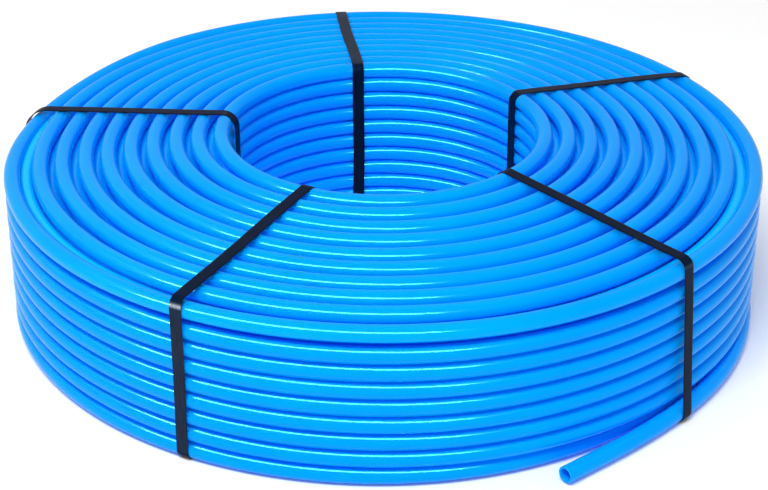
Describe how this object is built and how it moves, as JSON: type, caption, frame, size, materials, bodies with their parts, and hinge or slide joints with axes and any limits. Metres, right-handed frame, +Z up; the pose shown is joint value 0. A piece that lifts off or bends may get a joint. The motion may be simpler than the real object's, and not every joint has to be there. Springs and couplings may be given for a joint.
{
  "type": "coil of underfloor heating pipe",
  "caption": "Flat-lying coil of blue plastic heating pipe, wound in concentric turns round an open centre, tied with flat black straps, one free end.",
  "frame": {"origin": "on the coil's own axis, at the level of the ground it lies on, which is the underside of the straps", "axes": "+Z up along the coil's axis; the free end lies low on the -Y side, a little towards +X, and points towards -X and -Y"},
  "size_m": [0.75, 0.75, 0.1797],
  "materials": {
    "pipe": "smooth extruded polyethylene, satin gloss, bright blue",
    "strap": "flat polypropylene strapping, blue-black, fine embossed grid"
  },
  "bodies": {
    "root": {"pipe_coil": "pipe", "strap_back": "strap", "strap_right": "strap", "strap_front_right": "strap", "strap_front_left": "strap", "strap_left": "strap"}
  },
  "joints": []
}
